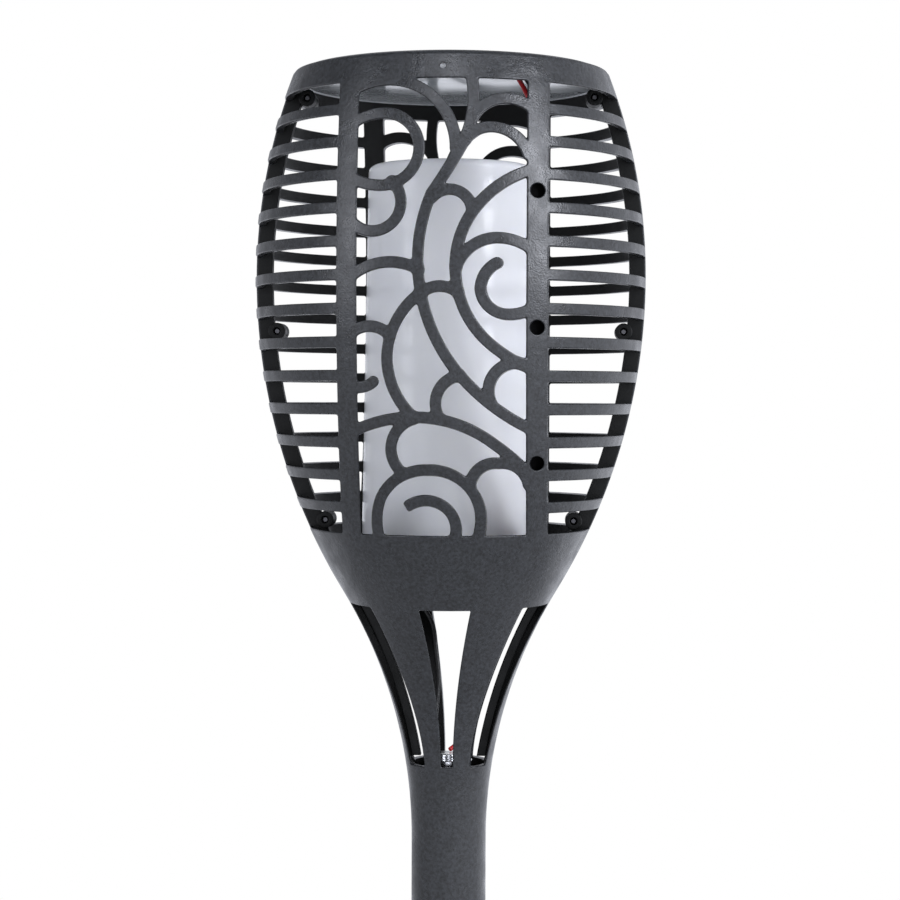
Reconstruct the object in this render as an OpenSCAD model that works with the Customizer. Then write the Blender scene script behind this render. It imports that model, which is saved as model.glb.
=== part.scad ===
// Solar garden torch with a flickering lamp: a pierced two-half head on a plug-together pole with a ground
// spike. The origin is on the axis at ground level, +Z is up and the open scroll window faces -Y.

/* [Head] */
// Largest radius of the head
head_r = 60; // [58:0.5:62]
// Height of the head's widest ring above the ground
belly_z = 557; // [555:1:560]
// Height of the top rim above the ground
rim_z = 620; // [618:0.5:622]
// Wall thickness of the two half shells
wall = 2.4; // [2:0.1:2.8]
// Radial depth of the ribs along the seam
rib_depth = 5; // [4:0.1:5.5]

/* [Scroll window and slats] */
// Half width of the scroll window
window_x = 24.3; // [24:0.1:24.6]
// Width of the two posts beside the window
post_w = 6; // [5:0.1:6.5]
// Height of the window's sill
sill_z = 480; // [479:0.5:481]
// Underside of the top band
band_z = 611.5; // [611:0.1:612]
// Width of the scrollwork strokes
stroke_w = 3.3; // [3:0.1:3.6]
// Number of slats on each side of the window
slats = 13; // [11:1:14]
// Height of one slat
slat_h = 3.2; // [2.8:0.1:3.6]

/* [Struts and neck] */
// Top of the openings between the struts
strut_top_z = 457; // [455:0.5:458]
// Bottom of the openings between the struts
strut_end_z = 407.5; // [406:0.5:412]
// Outer radius of the neck
neck_r = 11.5; // [11:0.1:12]
// Height where the neck becomes straight
neck_z = 384; // [380:1:388]
// Lower end of the neck
neck_end_z = 310; // [308:1:312]

/* [Lamp] */
// Radius of the diffuser at its base
diffuser_r = 27.2; // [26:0.1:27.5]
// Height of the diffuser's closed top
diffuser_top_z = 591.5; // [585:0.5:595]
// Columns of lights round the lamp
light_columns = 8; // [6:1:8]
// Rows of lights up the lamp
light_rows = 12; // [8:1:12]

/* [Pole and spike] */
// Outer radius of the pole
pole_r = 9.5; // [9.4:0.05:9.55]
// Length of the spike below the ground
spike_l = 160; // [120:5:180]
// Length that each joint plugs in
plug_l = 30; // [25:1:32]

/* [Hidden] */
$fn = 96;

shell_color = [0.27, 0.28, 0.3];
far = 80;
lap = 4;                 // how far touching regions of an outline run into each other
gap = 0.3;               // between bodies that come apart
fit = 0.08;              // radial clearance of a plug in its socket

// The head's outline: two convex arcs that meet at the widest ring, and a hollow arc into the neck.
upper_arc = 172;
lower_arc = 185;
neck_dx = neck_r - (head_r - lower_arc);
neck_dz = belly_z - neck_z;
neck_arc = (neck_dz * neck_dz + neck_dx * neck_dx - lower_arc * lower_arc) / (2 * (lower_arc - neck_dx));
function join_z(inset) = belly_z - (lower_arc - inset) * neck_dz / (lower_arc + neck_arc);
function half_chord(r, d) = sqrt(r * r - d * d);
function head_radius(z, inset = 0) =
    z > belly_z ? head_r - upper_arc + half_chord(upper_arc - inset, z - belly_z) :
    z > join_z(inset) ? head_r - lower_arc + half_chord(lower_arc - inset, z - belly_z) :
    z > neck_z ? neck_r + neck_arc - half_chord(neck_arc + inset, z - neck_z) :
    neck_r - inset;

window_h = band_z - sill_z;
slat_gap = (window_h - slats * slat_h) / (slats + 1);
slat_pitch = slat_h + slat_gap;

// Heights inside the head and the neck.
battery_base_z = 360;
battery_l = 50;
battery_r = 7.2;
web_t = 3;               // webs across the neck, under the battery and over the pole
tab_t = 0.3;
floor_z = 469;
floor_t = 3;
cover_z = 457.5;
cover_t = 2;
board_z = 462.5;
board_t = 1.6;
lamp_z = floor_z + floor_t;
column_r = 11;
column_top_z = diffuser_top_z - 10;
led_pitch = 8;
flex_t = 0.6;            // the lights' flexible board
flex_w = 4;              // its tail
panel_z = rim_z - 3.8;   // underside of the solar panel
panel_board_t = 1.4;
cell_t = 0.3;
panel_t = 3.5;
panel_r = 44.8;
socket_r = pole_r + fit;
pole_top_z = neck_end_z + plug_l - 1;
pole_stop_z = pole_top_z + 2.5;
pole_joint_z = 160;
tube_t = 2;
plug_r = pole_r - tube_t - fit;
collar_t = 4;
screw_r = 1.1;
screw_sites = [[612, 44], [540.5, 53.2], [482.5, 38.2]];   // height and distance from the axis
boss_r = 2.6;
boss_l = 5.5;            // depth of a boss from the seam
rib_t = 2;               // each half's share of the seam rib's thickness
rib_space = 0.4;         // between a plate and the seam ribs
board_screw_at = 17;     // distance of the control board's screws from the axis
cover_screw_at = 24;     // distance of the base cover's screws from the axis
board_angles = [30, 150, 270];
cover_angles = [90, 210, 330];
small_screw_r = 0.9;
pillar_r = 2.4;
lead_r = 0.7;
lead_x = 1.1;            // half the spacing of a pair of leads
lead_end = 0.4;          // how far a lead's end stops before the board it is soldered to
lead_hole = [22.9, -20];
lead_hole_r = 3.4;
battery_lead_hole = [12, 16];
switch_x = 18.5;
switch_r = 3.2;
switch_side = 8;
post_holes = [99.3, 60.3, 21.3];      // heights above the sill
post_hole_r = 2.1;
drain_z = rim_z - 4.8;
drain_r = 0.9;

// Scrollwork: each stroke is a chain of arcs. Every second point is shared by two arcs, and the points
// between are where each arc bulges to. x is across the window, the second number is height above the sill.
STROKES = [
    [[-24.5, 129.5], [-5.2, 128], [4, 111]],
    [[8.2, 132], [8.8, 123], [6.3, 113], [2.1, 105.4], [-2.7, 98], [-6.4, 82], [-5.2, 68], [-1.5, 57.3],
     [4.3, 48], [13.3, 39], [25, 31.5]],
    [[-24.5, 119.7], [-20.7, 121.1], [-16.8, 121.5], [-6.4, 111], [-16.8, 100.5], [-20.7, 100.9],
     [-24.5, 102.2]],
    [[-14.2, 101.7], [-13.1, 90.6], [-24.5, 89.2]],
    [[9, 120.5], [16.8, 125.7], [25, 123.7]],
    [[6.8, 113.5], [10.3, 116.4], [15.3, 117.2], [20.8, 115], [24.6, 109.5]],
    [[25, 105], [16.8, 100.8], [9.5, 93.6], [5, 84], [4.3, 75], [7.3, 64], [13.8, 55.7], [18.8, 52],
     [25, 48.8]],
    [[-2.2, 97], [2.3, 99.1], [8.6, 94.5]],
    [[-5.2, 70], [-0.7, 71.7], [4.8, 70]],
    [[4.6, 77.5], [8, 82.4], [15.8, 85.5], [20.3, 85], [25, 82.9]],
    [[16, 78.4], [12.8, 75.6], [11.3, 71], [13.5, 66.2], [18.8, 63.9], [21.8, 64.1], [25, 65.2]],
    [[-24.5, 75.7], [-15.7, 78.6], [-6.2, 76.5]],
    [[-5.7, 69.8], [-13.1, 61], [-15.4, 51], [-13.7, 43], [-8.5, 35.2]],
    [[-24.5, 59.5], [-20.2, 60.5], [-14.7, 58]],
    [[-24.5, 43.2], [-21.9, 43.4], [-19.5, 44.7]],
    [[-24.5, 31], [-15.7, 33.8], [-6.7, 34.6], [6.3, 32], [15.3, 26.8], [20.3, 22.8], [25, 18]],
    [[5.3, 46.5], [-0.6, 42.2], [-0.5, 34.5]],
    [[23.5, 49.9], [15.7, 47.6], [14, 39.5]],
    [[-8.2, 34], [-12.7, 30.8], [-14.6, 25.5], [-13.9, 22], [-11.7, 18.8]],
    [[-18.8, -1], [-19.3, 5.5], [-17.9, 11.2], [-12.7, 17], [-4, 19.4], [6.7, 15.6], [11.2, 6], [11, 2.5],
     [10.2, -1]],
    [[-9.7, 9], [-4.5, 10.5], [1.1, 8.4], [3.6, 4.5], [3.4, -1]],
    [[8.3, 15.5], [11.3, 20.2], [16.3, 21.4], [21.8, 20], [25, 15]],
];
WEDGE = [[17, 24], [25, 18.5], [25, 15], [21.8, 20], [16.5, 21.5]];

// Centre of the circle through three points.
function arc_centre(a, b, c) =
    let (p = b - a, q = c - a, d = 2 * (p[0] * q[1] - p[1] * q[0]), pp = p * p, qq = q * q)
    a + [q[1] * pp - p[1] * qq, p[0] * qq - q[0] * pp] / d;

// Sector with its tip at the origin, wide enough to hold the arc between two directions under 180 degrees.
module sector(r, from, to) {
    steps = 4;
    polygon(concat([[0, 0]], [for (i = [0:steps]) let (t = from + (to - from) * i / steps)
        1.2 * r * [cos(t), sin(t)]]));
}

module arc_stroke(a, b, c, w) {
    o = arc_centre(a, b, c);
    r = norm(a - o);
    t0 = atan2(a[1] - o[1], a[0] - o[0]);
    side = (b[0] - a[0]) * (c[1] - a[1]) - (b[1] - a[1]) * (c[0] - a[0]) < 0 ? -1 : 1;
    swing = side * (atan2(c[1] - o[1], c[0] - o[0]) - t0);
    sweep = side * (swing < 0 ? swing + 360 : swing);
    translate(o)
        intersection() {
            difference() {
                circle(r + w / 2);
                circle(r - w / 2);
            }
            union() {
                sector(r + w, t0, t0 + sweep / 2);
                sector(r + w, t0 + sweep / 2, t0 + sweep);
            }
        }
}

module stroke(points, w) {
    for (i = [0:2:len(points) - 3])
        arc_stroke(points[i], points[i + 1], points[i + 2], w);
    last = len(points) - 1;
    for (i = [0:2:last])
        translate(points[i]) circle(w / 2 + (i == 0 || i == last ? 0.08 : -0.25), $fn = 24);
}

// Outline of the head, grown inwards by inset, between two heights.
module outline(inset, z0, z1) {
    intersection() {
        translate([0, z0]) square([far, z1 - z0]);
        union() {
            intersection() {
                translate([head_r - upper_arc, belly_z]) circle(upper_arc - inset, $fn = 360);
                translate([0, belly_z - lap]) square(far);
            }
            intersection() {
                translate([head_r - lower_arc, belly_z]) circle(lower_arc - inset, $fn = 360);
                translate([0, join_z(inset)]) square([far, belly_z - join_z(inset)]);
            }
            difference() {
                translate([0, neck_z]) square([head_radius(join_z(inset), inset), join_z(inset) - neck_z]);
                translate([neck_r + neck_arc, neck_z]) circle(neck_arc + inset, $fn = 360);
            }
            translate([0, neck_end_z]) square([neck_r - inset, neck_z - neck_end_z + lap]);
        }
    }
}

// Shell of revolution between two insets and two heights.
module ring(inset0, inset1, z0, z1, sweep = 360) {
    rotate([0, 0, 180]) rotate_extrude(angle = sweep)
        difference() {
            outline(inset0, z0, z1);
            outline(inset1, z0 - 1, z1 + 1);
        }
}

// Wall of one half shell with the pole's socket and the two webs across the neck.
module shell_wall() {
    rotate([0, 0, 180]) rotate_extrude(angle = 180) {
        difference() {
            outline(0, neck_end_z, rim_z);
            outline(wall, neck_end_z - 1, rim_z + 1);
            translate([0, neck_end_z - 1]) square([socket_r, pole_stop_z - neck_end_z + 1]);
        }
        for (z = [pole_stop_z, battery_base_z - tab_t - web_t])
            translate([0, z]) square([neck_r - 0.5, web_t]);
    }
}

// Extrudes a drawing made in x and height along Y, from y0 forward to y1.
module along_y(y0, y1) {
    translate([0, y0, 0]) rotate([90, 0, 0]) linear_extrude(y0 - y1) children();
}

module window_cells() {
    translate([0, sill_z])
        difference() {
            translate([-window_x, 0]) square([2 * window_x, window_h]);
            for (s = STROKES) stroke(s, stroke_w);
            polygon(WEDGE);
        }
}

module strut_opening(mid) {
    n = 8;
    function t(i) = i / n;
    function z(i) = strut_end_z + (strut_top_z - strut_end_z) * t(i);
    inner = [for (i = [0:n]) [mid ? -1.8 - 6 * pow(t(i), 1.8) : 6.9 + 16 * pow(t(i), 1.55), z(i)]];
    outer = [for (i = [n:-1:0])
        [mid ? 1.8 + 6 * pow(t(i), 1.8) : head_radius(z(i)) - 1.8 + 1.5 * t(i), z(i)]];
    polygon(concat(inner, outer));
}

module screw_boss_places() {
    for (s = screw_sites, side = [-1, 1]) translate([side * s[1], 0, s[0]]) rotate([90, 0, 0]) children();
}

module half_shell(hole_r) {
    difference() {
        union() {
            difference() {
                union() {
                    shell_wall();
                    ring(0.5, 5.5, floor_z - 3, floor_z, 180);
                }
                along_y(-1, -far) window_cells();
                for (i = [0:slats], side = [0, 1]) mirror([side, 0, 0])
                    translate([window_x + post_w, -far, sill_z + i * slat_pitch])
                        cube([far, far - rib_t, slat_gap]);
                along_y(-rib_t, -far) {
                    strut_opening(true);
                    strut_opening(false);
                    mirror([1, 0]) strut_opening(false);
                }
            }
            intersection() {
                ring(0.2, rib_depth, strut_end_z + 2, panel_z - 1.2, 180);
                translate([-far, -rib_t, 0]) cube([2 * far, 2 * rib_t, rim_z]);
            }
            intersection() {
                ring(0.2, 12, sill_z - 5, rim_z - 3, 180);
                screw_boss_places() cylinder(r = boss_r, h = boss_l);
            }
        }
        screw_boss_places() translate([0, 0, -1]) cylinder(r = hole_r, h = 20);
    }
}

module front_shell() {
    color(shell_color) difference() {
        half_shell(screw_r);
        for (h = post_holes) translate([window_x + post_w / 2, 0, sill_z + h]) rotate([90, 0, 0])
            cylinder(r = post_hole_r, h = far);
        translate([0, 0, drain_z]) rotate([90, 0, 0]) cylinder(r = drain_r, h = far);
    }
}

module rear_shell() {
    color(shell_color) rotate([0, 0, 180]) half_shell(screw_r + 0.15);
}

module seam_screws() {
    head_t = 1.4;
    color([0.2, 0.2, 0.21]) rotate([0, 0, 180]) screw_boss_places() {
        translate([0, 0, 1 - boss_l]) cylinder(r = screw_r, h = 2 * boss_l - 1);
        translate([0, 0, boss_l]) cylinder(r = 2.1, h = head_t);
    }
}

// Channel on the back of the right-hand post. It holds the panel's leads and closes the post's holes.
module wire_duct() {
    duct_z0 = sill_z - 3;
    duct_z1 = band_z - 9;
    side_t = 0.8;
    color([0.12, 0.12, 0.13]) difference() {
        intersection() {
            ring(wall, wall + 3.6, duct_z0, duct_z1);
            translate([window_x + 0.3, -far, 0]) cube([post_w - 0.6, far, rim_z]);
        }
        intersection() {
            ring(wall + 1, wall + 5, duct_z0 - 1, duct_z1 + 1);
            translate([window_x + 0.3 + side_t, -far, 0]) cube([post_w - 0.6 - 2 * side_t, far, rim_z]);
        }
    }
}

module panel_disc(r, z0, z1) {
    translate([0, 0, z0]) cylinder(r = r, h = z1 - z0);
}

module panel_board() {
    color([0.9, 0.91, 0.92]) panel_disc(panel_r, panel_z, panel_z + panel_board_t);
}

module solar_cells() {
    strips = 8;
    cells_r = panel_r - 3;
    pitch = 2 * cells_r / strips;
    z = panel_z + panel_board_t;
    color([0.06, 0.08, 0.2]) for (i = [0:strips - 1])
        intersection() {
            panel_disc(cells_r, z, z + cell_t);
            translate([(i - strips / 2) * pitch + 0.5, -far, z - 5]) cube([pitch - 1, 2 * far, 10]);
        }
}

module panel_glass() {
    color([0.75, 0.8, 0.85]) difference() {
        panel_disc(panel_r, panel_z + panel_board_t, panel_z + panel_t);
        solar_cells();
    }
}

module panel_seal() {
    z0 = panel_z - 0.2;
    z1 = panel_z + panel_t - 0.6;
    color([0.85, 0.86, 0.86]) rotate_extrude()
        polygon([[panel_r, z0], [head_radius(z0, wall) - 0.1, z0], [head_radius(z1, wall) - 0.1, z1],
                 [panel_r, z1]]);
}

// Round wire through points chosen by hand, as one swept skin.
WIRE_SIDES = 8;
function unit(v) = v / norm(v);
function bezier(p, t) = pow(1 - t, 3) * p[0] + 3 * pow(1 - t, 2) * t * p[1] + 3 * (1 - t) * t * t * p[2]
    + pow(t, 3) * p[3];
function smooth_route(p, n) = [for (i = [0:len(p) - 2]) let (
        a = p[i], b = p[i + 1],
        ta = (b - (i == 0 ? a : p[i - 1])) / 6, tb = ((i == len(p) - 2 ? b : p[i + 2]) - a) / 6)
    for (k = [0:n - 1]) bezier([a, a + ta, b - tb, b], k / n)];
module wire(points, r) {
    path = concat(smooth_route(points, 4), [points[len(points) - 1]]);
    n = len(path);
    rings = [for (i = [0:n - 1]) let (
            d = unit(path[min(i + 1, n - 1)] - path[max(i - 1, 0)]),
            u = unit(cross(d, [0.12, 1, 0.07])), v = cross(d, u))
        for (k = [0:WIRE_SIDES - 1]) let (a = 360 * k / WIRE_SIDES)
            path[i] + r * (cos(a) * u + sin(a) * v)];
    sides = [for (i = [0:n - 2], k = [0:WIRE_SIDES - 1]) let (j = (k + 1) % WIRE_SIDES, a = i * WIRE_SIDES)
        [a + k, a + j, a + WIRE_SIDES + j, a + WIRE_SIDES + k]];
    first = [for (k = [WIRE_SIDES - 1:-1:0]) k];
    last = [for (k = [0:WIRE_SIDES - 1]) (n - 1) * WIRE_SIDES + k];
    polyhedron(rings, concat([first], sides, [last]), convexity = 8);
}

// The panel's leads leave its underside, drop through the duct and end on top of the control board.
PANEL_ROUTE = [[20.8, -33.5, panel_z - lead_end], [23.3, -38, 611.5], [25.4, -40, 607], [27.3, -40.8, 601],
               [27.3, -41.8, 596], [27.3, -45.7, 575], [27.3, -46.8, 557], [27.3, -45.3, 535],
               [27.3, -39.7, 510], [27.3, -30, 487], [27, -24, 477], [24.4, -21.4, 474], [22.9, -20, 471],
               [22.2, -19.4, 468.3], [19.5, -17, 466.3], [13, -11, board_z + board_t + lead_end]];
// The battery's leads rise between the rear struts, pass the cover and end under the control board.
BATTERY_RED_ROUTE = [[0.3, 0, 411.1], [3, 3, 413.5], [5.5, 7, 420], [7, 11, 430], [8.5, 14.5, 441],
                     [10.5, 16.8, 450], [12, 16, 458.5], [11, 14.5, board_z - lead_end]];
BATTERY_BLACK_ROUTE = [[-5.5, 6.1, 361], [-5.5, 6.1, 385], [-5.5, 6.2, 404], [-5.2, 7.5, 412],
                       [-4.4, 11, 424], [-4, 13, 432], [-4.9, 14.4, 441], [-6, 16.2, 448],
                       [-8.6, 16.9, 453], [-12, 16, 458.5], [-11, 14.5, board_z - lead_end]];

module panel_red_lead() {
    color([0.75, 0.1, 0.1]) wire([for (p = PANEL_ROUTE) p - [lead_x, 0, 0]], lead_r);
}

module panel_black_lead() {
    color([0.05, 0.05, 0.05]) wire([for (p = PANEL_ROUTE) p + [lead_x, 0, 0]], lead_r);
}

module battery_red_lead() {
    color([0.75, 0.1, 0.1]) wire(BATTERY_RED_ROUTE, lead_r);
}

module battery_black_lead() {
    color([0.05, 0.05, 0.05]) wire(BATTERY_BLACK_ROUTE, lead_r);
}

module diffuser() {
    top_r = 25.3;
    t = 1.6;
    fillet = 2.5;
    color([0.87, 0.87, 0.92]) rotate_extrude() difference() {
        union() {
            polygon([[0, lamp_z], [diffuser_r, lamp_z], [top_r, diffuser_top_z - fillet],
                     [0, diffuser_top_z - fillet]]);
            square_z = diffuser_top_z - fillet;
            translate([0, square_z]) square([top_r - fillet, fillet]);
            intersection() {
                translate([top_r - fillet, square_z]) circle(fillet);
                translate([top_r - fillet, square_z]) square(fillet);
            }
        }
        polygon([[0, lamp_z - 1], [diffuser_r - t, lamp_z - 1], [top_r - t, diffuser_top_z - t],
                 [0, diffuser_top_z - t]]);
    }
}

module at_angles(angles, distance) {
    for (a = angles) rotate([0, 0, a]) translate([distance, 0, 0]) children();
}

// Room for the seam ribs at a plate's two sides, measured at the plate's underside.
module rib_notches(z) {
    x = head_radius(z) - rib_depth - rib_space;
    for (side = [0, 1]) mirror([side, 0, 0])
        translate([x, -rib_t - rib_space, z - 1]) cube([far, 2 * (rib_t + rib_space), 8]);
}

// Pillar under the lamp's base, with its upper end inside the plate.
module pillar(z0) {
    translate([0, 0, z0]) cylinder(r = pillar_r, h = floor_z + 1 - z0);
}

module lamp_base() {
    board_top = board_z + board_t;
    cover_top = cover_z + cover_t;
    color([0.2, 0.2, 0.21]) difference() {
        union() {
            panel_disc(head_radius(floor_z, wall) - 0.2, floor_z, lamp_z);
            difference() {
                panel_disc(diffuser_r - 2.2, lamp_z - 0.5, lamp_z + 4);
                panel_disc(diffuser_r - 4.2, lamp_z, lamp_z + 5);
            }
            at_angles(board_angles, board_screw_at) pillar(board_top);
            at_angles(cover_angles, cover_screw_at) pillar(cover_top);
        }
        at_angles(board_angles, board_screw_at)
            translate([0, 0, board_z]) cylinder(r = small_screw_r, h = 5.5);
        at_angles(cover_angles, cover_screw_at)
            translate([0, 0, cover_z]) cylinder(r = small_screw_r, h = 8);
        translate([lead_hole[0], lead_hole[1], floor_z - 1]) cylinder(r = lead_hole_r, h = 6);
        translate([column_r - 0.3, -flex_w / 2 - 0.3, floor_z - 1]) cube([flex_t + 0.6, flex_w + 0.6, 6]);
        rib_notches(floor_z);
    }
}

module led_column() {
    color([0.9, 0.9, 0.88]) difference() {
        panel_disc(column_r, lamp_z, column_top_z);
        panel_disc(column_r - 1.5, lamp_z - 1, column_top_z - 1.5);
    }
}

// Flexible board wrapped round the column, with a tail that reaches the control board.
module led_board() {
    color([0.93, 0.93, 0.9]) union() {
        difference() {
            panel_disc(column_r + flex_t, lamp_z + 4, column_top_z);
            panel_disc(column_r, lamp_z, column_top_z + 1);
        }
        translate([column_r, -flex_w / 2, board_z + board_t])
            cube([flex_t, flex_w, lamp_z + 6 - board_z - board_t]);
    }
}

module leds() {
    led_w = 3;
    color([1, 0.8, 0.35]) for (c = [0:light_columns - 1], r = [0:light_rows - 1])
        rotate([0, 0, c * 360 / light_columns])
            difference() {
                translate([column_r, -led_w / 2, lamp_z + 10 + r * led_pitch]) cube([2, led_w, led_w]);
                panel_disc(column_r + flex_t, lamp_z, column_top_z);
            }
}

module control_board() {
    notch = switch_side + 2 * rib_space;
    color([0.1, 0.3, 0.15]) difference() {
        panel_disc(20, board_z, board_z + board_t);
        at_angles(board_angles, board_screw_at)
            translate([0, 0, board_z - 1]) cylinder(r = small_screw_r + 0.2, h = 4);
        translate([switch_x - notch / 2, -notch / 2, board_z - 1]) cube([notch, notch, 4]);
    }
}

module board_chips() {
    color([0.05, 0.05, 0.05]) {
        translate([-6, -4, board_z + board_t]) cube([8, 6, 1.6]);
        translate([5, 4, board_z + board_t]) cube([4, 4, 1.2]);
        translate([4, -8, board_z + board_t]) cylinder(r = 2, h = 3.5);
    }
}

module board_screws() {
    head_t = 1.2;
    color([0.75, 0.75, 0.78]) at_angles(board_angles, board_screw_at) {
        translate([0, 0, board_z]) cylinder(r = small_screw_r, h = 5);
        translate([0, 0, board_z - head_t]) cylinder(r = 1.8, h = head_t);
    }
}

module base_cover() {
    color([0.16, 0.16, 0.17]) difference() {
        panel_disc(head_radius(cover_z, wall) - 0.3, cover_z, cover_z + cover_t);
        at_angles(cover_angles, cover_screw_at)
            translate([0, 0, cover_z - 1]) cylinder(r = small_screw_r + 0.2, h = 4);
        translate([switch_x, 0, cover_z - 1]) cylinder(r = switch_r + gap, h = 4);
        for (side = [-1, 1]) translate([side * battery_lead_hole[0], battery_lead_hole[1], cover_z - 1])
            cylinder(r = 2.4, h = 4);
        rib_notches(cover_z);
    }
}

module cover_screws() {
    head_t = 1.3;
    color([0.2, 0.2, 0.21]) at_angles(cover_angles, cover_screw_at) {
        translate([0, 0, cover_z]) cylinder(r = small_screw_r, h = 7);
        translate([0, 0, cover_z - head_t]) cylinder(r = 2, h = head_t);
    }
}

module switch_body() {
    color([0.08, 0.08, 0.08]) difference() {
        translate([switch_x - switch_side / 2, -switch_side / 2, cover_z + cover_t])
            cube([switch_side, switch_side, 6]);
        translate([switch_x, 0, cover_z]) cylinder(r = switch_r + gap, h = 6.5);
    }
}

module switch_button() {
    dish_r = 24;
    color([0.1, 0.1, 0.1]) translate([switch_x, 0, cover_z - 4.5]) difference() {
        cylinder(r = switch_r, h = 7.5);
        translate([0, 0, -dish_r]) sphere(r = dish_r + 0.4);
    }
}

module battery_cell() {
    top = battery_base_z + battery_l;
    nub_h = 1.5;
    color([0.72, 0.73, 0.75]) {
        panel_disc(battery_r, battery_base_z, top - nub_h);
        panel_disc(3.2, top - nub_h, top);
    }
}

module battery_tabs() {
    tab_w = 4;
    color([0.8, 0.8, 0.78]) {
        translate([-3, -2.5, battery_base_z + battery_l]) cube([6, 5, tab_t]);
        rotate([0, 0, 132]) translate([0, -tab_w / 2, battery_base_z - tab_t]) {
            translate([-2, 0, 0]) cube([battery_r + 2 + tab_t, tab_w, tab_t]);
            translate([battery_r, 0, 0]) cube([tab_t, tab_w, 6]);
        }
    }
}

module tube(z0, z1) {
    difference() {
        panel_disc(pole_r, z0, z1);
        panel_disc(pole_r - tube_t, z0 - 1, z1 + 1);
    }
}

module upper_pole() {
    color(shell_color) tube(pole_joint_z + gap, pole_top_z);
}

module pole_coupler() {
    fixed_l = 25;
    color([0.15, 0.15, 0.16]) difference() {
        union() {
            panel_disc(plug_r, pole_joint_z - 1, pole_joint_z + plug_l);
            panel_disc(pole_r - tube_t, pole_joint_z - fixed_l, pole_joint_z);
        }
        panel_disc(plug_r - 1.8, pole_joint_z - fixed_l - 1, pole_joint_z + plug_l + 1);
    }
}

module lower_pole() {
    color(shell_color) tube(collar_t + gap, pole_joint_z);
}

module spike_fin() {
    fin_x = 13;
    tip_x = 5;
    tip_l = 30;
    along_y(1.5, -1.5)
        polygon([[-fin_x, 0], [fin_x, 0], [fin_x, -25], [tip_x, tip_l - spike_l], [0, -spike_l],
                 [-tip_x, tip_l - spike_l], [-fin_x, -25]]);
}

module ground_spike() {
    color(shell_color) union() {
        panel_disc(17, 0, collar_t);
        difference() {
            panel_disc(plug_r, collar_t, collar_t + plug_l);
            panel_disc(plug_r - 2, collar_t + 1, collar_t + plug_l + 1);
        }
        spike_fin();
        rotate([0, 0, 90]) spike_fin();
    }
}

front_shell();
rear_shell();
seam_screws();
wire_duct();
panel_board();
solar_cells();
panel_glass();
panel_seal();
panel_red_lead();
panel_black_lead();
diffuser();
lamp_base();
led_column();
led_board();
leds();
control_board();
board_chips();
board_screws();
base_cover();
cover_screws();
switch_body();
switch_button();
battery_cell();
battery_tabs();
battery_red_lead();
battery_black_lead();
upper_pole();
pole_coupler();
lower_pole();
ground_spike();
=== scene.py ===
"""The solar garden torch's looks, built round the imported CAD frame. Lengths below are in millimetres."""
import math

import bmesh
import bpy
import numpy as np
from mathutils import Matrix, Vector
from mathutils.geometry import delaunay_2d_cdt


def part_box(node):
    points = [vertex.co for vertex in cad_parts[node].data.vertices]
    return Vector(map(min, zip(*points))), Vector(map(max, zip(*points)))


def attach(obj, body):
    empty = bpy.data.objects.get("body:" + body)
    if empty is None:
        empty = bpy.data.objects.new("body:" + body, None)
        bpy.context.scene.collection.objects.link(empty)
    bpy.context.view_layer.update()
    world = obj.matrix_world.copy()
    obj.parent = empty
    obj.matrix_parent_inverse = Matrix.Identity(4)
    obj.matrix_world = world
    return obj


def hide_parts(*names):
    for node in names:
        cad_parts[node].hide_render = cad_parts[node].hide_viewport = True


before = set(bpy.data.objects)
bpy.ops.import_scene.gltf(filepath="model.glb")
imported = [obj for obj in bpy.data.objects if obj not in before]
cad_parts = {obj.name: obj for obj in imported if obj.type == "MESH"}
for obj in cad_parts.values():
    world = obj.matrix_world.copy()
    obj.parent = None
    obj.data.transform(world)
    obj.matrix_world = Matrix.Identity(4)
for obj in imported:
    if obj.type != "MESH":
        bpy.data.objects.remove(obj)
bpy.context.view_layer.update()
MM = 0.001


def node_box(name):
    """A CAD node's lowest and highest corners, in millimetres."""
    low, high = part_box(name)
    return np.array(low) / MM, np.array(high) / MM


# ---- driving dimensions: most come from the frame ----
shell_low, shell_high = node_box("front_shell")
HEAD_R = shell_high[0]
RIM_Z = shell_high[2]
NECK_END_Z = shell_low[2]
BELLY_Z = RIM_Z - 63.0
WALL = 2.4
RIB_DEPTH = 5.0
RIB_T = 2.0
UPPER_ARC = 172.0
LOWER_ARC = 185.0
NECK_R = 11.5
NECK_Z = RIM_Z - 236.0
WINDOW_X = 24.3
POST_W = 6.0
BAND_Z = RIM_Z - 8.5
SILL_Z = RIM_Z - 140.0
STROKE_W = 3.3
SLATS = 13
SLAT_H = 3.2
STRUT_TOP_Z = RIM_Z - 163.0
STRUT_END_Z = RIM_Z - 212.5
POST_HOLES = (99.3, 60.3, 21.3)
POST_HOLE_R = 2.1
DRAIN_R = 0.9
DRAIN_Z = RIM_Z - 4.8
SCREW_SITES = ((612.0, 44.0), (540.5, 53.2), (482.5, 38.2))
BOSS_R = 2.6
BOSS_L = 5.5
SCREW_R = 1.1
SOCKET_R = node_box("upper_pole")[1][0] + 0.08
POLE_STOP_Z = node_box("upper_pole")[1][2] + 2.5
PANEL_Z = node_box("panel_board")[0][2]

neck_dx = NECK_R - (HEAD_R - LOWER_ARC)
neck_dz = BELLY_Z - NECK_Z
NECK_ARC = (neck_dz**2 + neck_dx**2 - LOWER_ARC**2) / (2 * (LOWER_ARC - neck_dx))
SLAT_GAP = (BAND_Z - SILL_Z - SLATS * SLAT_H) / (SLATS + 1)

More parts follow.
